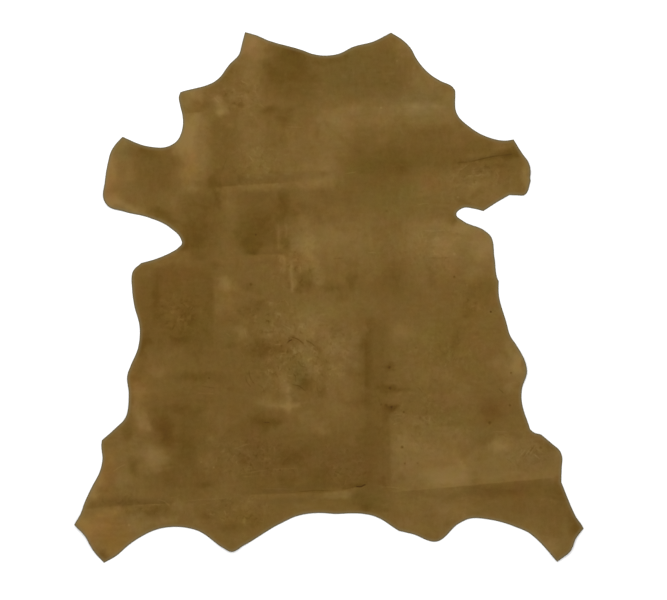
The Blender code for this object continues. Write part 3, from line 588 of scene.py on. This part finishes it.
def around(speck):
    """Rings of points on a speck, from its middle out to its border."""
    turns = [(share, turn / number) for share, number in SPECK_RINGS for turn in range(number)]
    share, turn = np.array(turns).T
    turn = 2 * np.pi * turn
    return speck.middle + speck.reach * np.column_stack((share * np.cos(turn), share * np.sin(turn)))


detail = [around(speck) for speck in specks]
for line in hairlines:
    detail += along_line(line, HAIR_ROWS, HAIR_STEP)
detail = np.concatenate(detail)
crease_rows = []
for crease in creases:
    crease_rows += along_line(crease, CREASE_ROWS, CREASE_STEP)
crease_rows = np.concatenate(crease_rows)
crease_rows = crease_rows[distance_to(detail, crease_rows) > HAIR_MARGIN]
detail = np.concatenate([detail, crease_rows])
detail = detail[inside(detail)]
detail = detail[distance_to(outline, detail) > TOP_MARGIN]
grid = lattice(TOP_STEP, TOP_MARGIN)
grid = grid[distance_to(detail, grid) > CREASE_MARGIN]

count = len(outline)
loop = [(k, (k + 1) % count) for k in range(count)]


def filled(points):
    """Triangles over points whose first ones are the closed rim."""
    _, _, triangles, origin, *_ = delaunay_2d_cdt([Vector(p) for p in points], loop, [], 1, SAME_PLACE)
    given = [sources[0] for sources in origin]
    return [[given[corner] for corner in triangle] for triangle in triangles]


top = np.concatenate([rim, *edge_rows, detail, grid])
under = np.concatenate([rim, lattice(UNDER_STEP, UNDER_MARGIN)])
top_faces = filled(top)
under_faces = filled(under)

# The top's own relief: the creases, and the slight unevenness that a buffed skin always has
CREASE_WIDTH = 4.5
HAIR_WIDTH = 1.7
UNEVENNESS = ((0.35, 36), (0.14, 13))
WAXING = 0.9
WAXING_LENGTH = 26


def strength(line, along):
    """How strong a line is along its run: it fades out at both ends, and waxes and wanes between."""
    length = np.hypot(*straight(line)[1])
    waxing = [WAXING * noise.noise(Vector((share * length / WAXING_LENGTH, *line.start))) for share in along]
    return (1 + np.array(waxing)) * bell((2 * along - 1) ** LINE_FADE)


def on_line(line, points, reach):
    """Which points lie within reach of a line, how strong it is there, and how far to its left they lie."""
    along, aside = beside(line, points)
    here = np.flatnonzero((along > 0) & (along < 1) & (np.abs(aside) < reach))
    return here, strength(line, along[here]), aside[here]


def uneven(points):
    """How far the top strays from an even thickness."""
    height = np.zeros(len(points))
    for amount, size in UNEVENNESS:
        height += waver(points, amount, size, amount)
    for lines, width in ((creases, CREASE_WIDTH), (hairlines, HAIR_WIDTH)):
        for line in lines:
            here, strong, aside = on_line(line, points, width)
            height[here] += line.rise * strong * (1 - np.abs(aside) / width)
    for speck in specks:
        height += speck.rise * bell(np.hypot(*(points - speck.middle).T) / speck.reach)
    return height


# The cut edge's section, from the napped top down to the underside: how far in from the cut, and how
# far down from the top or up from the underside
SECTION = ((0.15, THICKNESS - 0.08), (0.0, THICKNESS - 0.38), (0.0, 0.34), (0.15, 0.05))
vertices = [np.column_stack((top, lift(top) + THICKNESS + uneven(top)))]
for inset, height in SECTION:
    row = outline + inward * inset
    level = height + uneven(row) * height / THICKNESS
    vertices.append(np.column_stack((row, lift(row) + level)))
vertices.append(np.column_stack((under, lift(under))))
firsts = np.cumsum([0] + [len(part) for part in vertices])[:-1]
faces = list(top_faces)
for upper, lower in zip(firsts, firsts[1:]):
    faces += [(upper + a, upper + b, lower + b, lower + a) for a, b in loop]
faces += [[firsts[-1] + corner for corner in reversed(triangle)] for triangle in under_faces]
vertices = np.concatenate(vertices)

skin_mesh = bpy.data.meshes.new("suede_skin_visual")
skin_mesh.from_pydata((vertices * MM).tolist(), [], faces)
skin_mesh.shade_smooth()
skin = bpy.data.objects.new("suede_skin_visual", skin_mesh)
bpy.context.collection.objects.link(skin)

# Where the nap is lighter and darker. The patches' borders wander, because nothing on a hide is drawn
# with a compass, while the creases stay as straight as the folding left them. STRAYS holds how far they
# wander and over what length. The sideways and the lengthways shift come from two levels of the noise.
STRAYS = ((4, 60), (7, 24), (5, 10))
STRAY_LEVELS = (317, 733)


def strayed(points):
    """The points shifted a few millimetres this way and that."""
    moved = points.copy()
    for amount, size in STRAYS:
        for side, level in enumerate(STRAY_LEVELS):
            moved[:, side] += waver(points, amount, size, level)
    return moved


def between(values, low, high, border):
    """1 between low and high, falling softly to 0 over a border around each."""
    return soft_step((values - low) / border) * soft_step((high - values) / border)


def over(points, x, y, sideways, lengthways, turn=0):
    """1 in the middle of an ellipse, falling softly to 0 at its border. It may be turned anticlockwise."""
    turn = np.radians(turn)
    offset = points - (x, y)
    along = offset @ (np.cos(turn), np.sin(turn)) / sideways
    aside = offset @ (-np.sin(turn), np.cos(turn)) / lengthways
    return bell(np.hypot(along, aside))


places = vertices[:, :2]
loose = strayed(places)
tone = np.zeros(len(places))
for left, right, low, high, border, amount in FIELDS.values():
    tone += amount * between(loose[:, 0], left, right, border) * between(loose[:, 1], low, high, border)
for amount, *ellipse in PATCHES:
    tone += amount * over(loose, *ellipse)
# Each crease's sides: the nap's own tone, with painted light on one slope and painted shade on the other
for crease in creases:
    here, strong, aside = on_line(crease, places, max(crease.reach_left, crease.reach_right))
    on_left = crease.tone_left * np.clip(1 - aside / crease.reach_left, 0, 1)
    on_right = crease.tone_right * np.clip(1 + aside / crease.reach_right, 0, 1)
    side = soft_step(aside / crease.turn)
    tone[here] += strong * (side * on_left + (1 - side) * on_right)
# Hairlines: painted shade along the grooves and painted light along the raised lines, with the marks' own
# colour
for line in hairlines:
    here, strong, aside = on_line(line, places, HAIR_WIDTH)
    tone[here] += line.tone * strong * (1 - np.abs(aside) / HAIR_WIDTH)
# Specks: painted shade in the pits, with the nicked grain's colour, and the lint's own lighter colour
for speck in specks:
    tone += speck.tone * bell(np.hypot(*(places - speck.middle).T) / speck.reach)
redder = np.zeros(len(places))
yellower = np.zeros(len(places))
for *ellipse, red, yellow in STAINS:
    here = over(loose, *ellipse)
    redder += red * here
    yellower += yellow * here

# The nap is a little paler all along the cut edge
RIM_TONE = 2
RIM_REACH = 30
inset_depth = distance_to(outline, places)
tone += RIM_TONE * bell(inset_depth / RIM_REACH)
napped = np.zeros(len(places))
napped[:firsts[1]] = 1
wrinkled = np.zeros(len(places))
for *ellipse, amount in WRINKLED:
    wrinkled += amount * over(loose, *ellipse)
for name, values in (("wrinkled", wrinkled), ("tone", tone), ("redder", redder), ("yellower", yellower),
                     ("inset", inset_depth), ("napped", napped)):
    skin_mesh.attributes.new(name, "FLOAT", "POINT").data.foreach_set("value", values.astype(np.float32))


class Value:
    """A number at every point of a material, which Math nodes add to, multiply and so on."""

    def __init__(self, socket):
        self.socket = socket

    def __add__(self, other):
        return calculated("ADD", self, other)

    def __sub__(self, other):
        return calculated("SUBTRACT", self, other)

    def __rsub__(self, other):
        return calculated("SUBTRACT", other, self)

    def __mul__(self, other):
        return calculated("MULTIPLY", self, other)

    __radd__ = __add__
    __rmul__ = __mul__


def node(tree, kind, settings, values, output=0):
    """A new node with its settings, and then its inputs' values or links, given back as one output."""
    made = tree.nodes.new(kind)
    for name, setting in settings.items():
        setattr(made, name, setting)
    for name, value in values.items():
        if isinstance(value, Value):
            tree.links.new(value.socket, made.inputs[name])
        else:
            made.inputs[name].default_value = value
    return Value(made.outputs[output])


def calculated(operation, first, second):
    """One Math node. Either side may be a plain number."""
    tree = (first if isinstance(first, Value) else second).socket.id_data
    return node(tree, "ShaderNodeMath", {"operation": operation}, {0: first, 1: second})


# The suede's colours, as light that it gives back: a pit, whose darkness is partly painted shade, the
# darkest, plain and lightest nap, the pale rim, the cut edge, dark with its own colour and with painted
# shade along it, and the smoother underside. LIGHT is how bright the studio light below is on the skin, and
# GLOSS is what the nap's faint sheen adds to every colour.
LIGHT = 1.285
GLOSS = 0.0068
DARK_TONE = -40
LIGHT_TONE = 20
NAP_COLOURS = (
    (0, (0.0706, 0.0307, 0.0075)), (0.4, (0.1248, 0.0666, 0.0123)), (0.667, (0.1746, 0.0999, 0.0252)),
    (1, (0.2502, 0.1559, 0.0497)),
)
PALE_RIM = (0.205, 0.165, 0.085)
CUT_AND_SHADE_COLOUR = (0.0908, 0.0762, 0.0319)
UNDERSIDE_COLOUR = (0.150, 0.090, 0.030)

# How strong a mottle's finer spots are beside its broad ones
MOTTLE_FINENESS = 0.55

suede = bpy.data.materials.new("suede_nap")
suede.use_nodes = True
suede_tree = suede.node_tree
suede_shader = suede_tree.nodes["Principled BSDF"]
skin_place = node(suede_tree, "ShaderNodeTexCoord", {}, {}, "Object")


def painted(name):
    """A value worked out above for every point of the skin."""
    return node(suede_tree, "ShaderNodeAttribute", {"attribute_name": name}, {}, "Fac")


def mottle(size, detail, seed, drawn=(1, 1, 1), curled=0):
    """Uneven spots about size millimetres across, drawn out or curled where asked, from -0.5 to 0.5."""
    place = node(suede_tree, "ShaderNodeVectorMath", {"operation": "DIVIDE"}, {0: skin_place, 1: drawn})
    values = {"Vector": place, "W": seed, "Scale": 1 / (size * MM), "Detail": detail,
              "Roughness": MOTTLE_FINENESS, "Distortion": curled}
    return node(suede_tree, "ShaderNodeTexNoise", {"noise_dimensions": "4D"}, values, "Fac") - 0.5


def lit(colour):
    """A colour as seen in the photograph, as the skin's own colour in this light."""
    return (*((channel - GLOSS) / LIGHT for channel in colour), 1)


# The mottling that buffing leaves, from broad clouds down to the nap's own grain
clouds = mottle(size=38, detail=2, seed=1)
blotches = mottle(size=14, detail=2, seed=2, curled=1.2)
flecks = mottle(size=5, detail=1, seed=3, curled=1)
nap = mottle(size=1.5, detail=1, seed=4)
GAP_CONTRAST = 6


def wrinkles(size, fineness, seed):
    """How strong thin wandering lines with gaps are, 0 beside them. The finer, the thinner they are."""
    off_line = calculated("ABSOLUTE", mottle(size, detail=1, seed=seed), 0)
    line = calculated("MAXIMUM", 1 - off_line * fineness, 0)
    return line * calculated("MAXIMUM", mottle(size, detail=0, seed=seed + 0.5) * GAP_CONTRAST, 0)


# Short streaks of brushed nap, drawn out sideways in some places and lengthways in others
STREAK_WIDTH = 7
STREAK_DRAW = 3.5
BRUSHED_SIZE = 80
BRUSHED_CONTRAST = 5
brushed = mottle(BRUSHED_SIZE, detail=1, seed=12) * BRUSHED_CONTRAST + 0.5
brushed = calculated("MINIMUM", calculated("MAXIMUM", brushed, 0), 1)
sideways_streaks = mottle(STREAK_WIDTH, detail=1, seed=6, drawn=(STREAK_DRAW, 1, 1))
lengthways_streaks = mottle(STREAK_WIDTH, detail=1, seed=7, drawn=(1, STREAK_DRAW, 1))
streaks = sideways_streaks * brushed + lengthways_streaks * (1 - brushed)
wrinkled_here = painted("wrinkled")
creased = wrinkles(size=12, fineness=10, seed=8) - wrinkles(size=10, fineness=10, seed=9)

# How much each of these lightens and darkens the nap, in the same steps as the tones above. The placed
# tones are PLACED times as strong, more in a light cloud and less in a dark one, and the mottling is
# rougher where the skin is wrinkled.
CLOUD_TONE = 7
BLOTCH_TONE = 13
FLECK_TONE = 8
STREAK_TONE = 12
NAP_TONE = 4
WRINKLE_TONE = 11
PLACED = 1.04
PLACED_CLOUDED = 0.6
ROUGH = 0.8
ROUGH_WRINKLED = 0.6
WRINKLES_ELSEWHERE = 0.15
rough = blotches * BLOTCH_TONE + flecks * FLECK_TONE + streaks * STREAK_TONE
shade = painted("tone") * (clouds * PLACED_CLOUDED + PLACED) + clouds * CLOUD_TONE + nap * NAP_TONE
shade = shade + rough * (wrinkled_here * ROUGH_WRINKLED + ROUGH)
# Raised wrinkles painted lighter and sunken ones darker: painted light and shade following the wrinkles'
# relief
shade = shade + creased * (wrinkled_here + WRINKLES_ELSEWHERE) * WRINKLE_TONE
shade = (shade - DARK_TONE) * (1 / (LIGHT_TONE - DARK_TONE))
ramp = node(suede_tree, "ShaderNodeValToRGB", {}, {"Fac": shade}, "Color")
stops = ramp.socket.node.color_ramp.elements
for position, _ in NAP_COLOURS[1:-1]:
    stops.new(position)
for stop, (position, colour) in zip(stops, NAP_COLOURS):
    stop.position = position
    stop.color = lit(colour)


def blended(first, second, share):
    """Two colours mixed, with this share of the second. A Mix node takes its colours at 6 and 7."""
    values = {"Factor": share, 6: first, 7: second}
    return node(suede_tree, "ShaderNodeMix", {"data_type": "RGBA"}, values, 2)


# The rims along the cut: how ragged they are, how far in they are at their strongest, and each rim's width
# and strength. The pale rim is paler nap; the dark rim is the raw cut's colour and painted shade along the
# edge.
RAGGEDNESS = 1.2
FULL_RIM = 0.8
PALE_RIM_WIDTH = 8
PALE_RIM_SHARE = 0.5
CUT_SHADE_RIM_WIDTH = 2.6
CUT_SHADE_RIM_SHARE = 0.6


def rim_share(width, share):
    """The share of a rim's colour: full at the cut edge, and none at this many millimetres from it."""
    values = {"Value": painted("inset") + flecks * RAGGEDNESS, "From Min": width, "From Max": FULL_RIM,
              "To Min": 0, "To Max": share}
    return node(suede_tree, "ShaderNodeMapRange", {"interpolation_type": "SMOOTHSTEP"}, values, "Result")


# The hue: how strong the placed stains and the mottled ones between them are, and what one step of each
# does to red, green and blue, as a share of that colour's light
PLACED_REDDER = 1.5
MOTTLED_REDDER = 13
PLACED_YELLOWER = 1.3
MOTTLED_YELLOWER = 11
RED_STEP = 0.0095
GREEN_STEP = -0.0124
BLUE_STEP = -0.05
redder_here = painted("redder") * PLACED_REDDER + mottle(size=30, detail=3, seed=10) * MOTTLED_REDDER
yellower_here = painted("yellower") * PLACED_YELLOWER + mottle(size=24, detail=3, seed=11) * MOTTLED_YELLOWER
red_share = redder_here * RED_STEP + 1
green_share = redder_here * GREEN_STEP + 1
blue_share = yellower_here * BLUE_STEP + 1
stained = node(suede_tree, "ShaderNodeCombineXYZ", {}, {0: red_share, 1: green_share, 2: blue_share})
tinted = node(suede_tree, "ShaderNodeVectorMath", {"operation": "MULTIPLY"}, {0: ramp, 1: stained})
colour = blended(lit(UNDERSIDE_COLOUR), tinted, painted("napped"))
colour = blended(colour, lit(PALE_RIM), rim_share(PALE_RIM_WIDTH, PALE_RIM_SHARE))
# A dark line along the cut, over the top's outer edge too: the raw cut's colour and painted shade along the
# edge
colour = blended(colour, lit(CUT_AND_SHADE_COLOUR), rim_share(CUT_SHADE_RIM_WIDTH, CUT_SHADE_RIM_SHARE))
suede_tree.links.new(colour.socket, suede_shader.inputs["Base Color"])

# The nap's dull surface, its fine relief and the faint sheen on the tips of its hairs
ROUGHNESS = 0.93
NAP_ROUGHNESS = 0.08
FLECK_ROUGHNESS = 0.06
NAP_RELIEF = 0.7
HAIR_RELIEF = 0.3
WRINKLE_RELIEF = 0.4
RELIEF_STRENGTH = 0.5
RELIEF_DEPTH = 0.25
SHEEN = {"Specular IOR Level": 0.15, "Sheen Weight": 0.12, "Sheen Roughness": 0.45,
         "Sheen Tint": (0.75, 0.60, 0.38, 1)}
dullness = nap * NAP_ROUGHNESS + flecks * FLECK_ROUGHNESS + ROUGHNESS
suede_tree.links.new(dullness.socket, suede_shader.inputs["Roughness"])
relief = nap * NAP_RELIEF + mottle(size=0.5, detail=1, seed=5) * HAIR_RELIEF
relief = relief + creased * wrinkled_here * WRINKLE_RELIEF
bump_values = {"Strength": RELIEF_STRENGTH, "Distance": RELIEF_DEPTH * MM, "Height": relief}
bump = node(suede_tree, "ShaderNodeBump", {}, bump_values, "Normal")
suede_tree.links.new(bump.socket, suede_shader.inputs["Normal"])
for name, value in SHEEN.items():
    suede_shader.inputs[name].default_value = value
skin_mesh.materials.append(suede)

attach(skin, "root")
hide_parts("suede_skin")

# The floor
# The plain white table of a studio, wide enough to fill the view from low down as well.
FLOOR_SIDE = 30.0
FLOOR_DROP = 0.2
FLOOR_COLOUR = (0.92, 0.92, 0.92, 1)
FLOOR_ROUGHNESS = 0.9
half = FLOOR_SIDE / 2
floor_mesh = bpy.data.meshes.new("floor")
corners = [(-half, -half, 0), (half, -half, 0), (half, half, 0), (-half, half, 0)]
floor_mesh.from_pydata(corners, [], [(0, 1, 2, 3)])
floor = bpy.data.objects.new("floor", floor_mesh)
floor.location.z = -FLOOR_DROP * MM
bpy.context.collection.objects.link(floor)
floor_paint = bpy.data.materials.new("floor_white")
floor_paint.use_nodes = True
floor_shader = floor_paint.node_tree.nodes["Principled BSDF"]
floor_shader.inputs["Base Color"].default_value = FLOOR_COLOUR
floor_shader.inputs["Roughness"].default_value = FLOOR_ROUGHNESS
floor_mesh.materials.append(floor_paint)

# The studio light
# Soft white light from all round, and one large soft window high up beyond the neck.
ROOM_BRIGHTNESS = 0.88
WINDOW_POWER = 75
WINDOW_SIDE = 2.4
WINDOW_PLACE = (-0.5, 1.9, 3.0)
world = bpy.data.worlds.new("studio")
world.use_nodes = True
world.node_tree.nodes["Background"].inputs["Color"].default_value = (1, 1, 1, 1)
world.node_tree.nodes["Background"].inputs["Strength"].default_value = ROOM_BRIGHTNESS
bpy.context.scene.world = world
window = bpy.data.objects.new("window", bpy.data.lights.new("window", "AREA"))
window.data.energy = WINDOW_POWER
window.data.size = WINDOW_SIDE
window.location = WINDOW_PLACE
window.rotation_euler = (-Vector(WINDOW_PLACE)).to_track_quat("-Z", "Y").to_euler()
bpy.context.collection.objects.link(window)
bpy.context.scene.view_settings.view_transform = "Standard"

# The camera
# Straight above, a little right of and below the middle of the skin, as the photograph was taken.
VIEW_WIDTH = 1.2573
VIEW_MIDDLE = (0.0086, -0.0047)
LENS = 100
SENSOR = 36
camera = bpy.data.objects.new("camera", bpy.data.cameras.new("camera"))
camera.data.lens = LENS
camera.data.sensor_width = SENSOR
camera.data.sensor_fit = "HORIZONTAL"
camera.location = (*VIEW_MIDDLE, VIEW_WIDTH * LENS / SENSOR)
bpy.context.collection.objects.link(camera)
bpy.context.scene.camera = camera
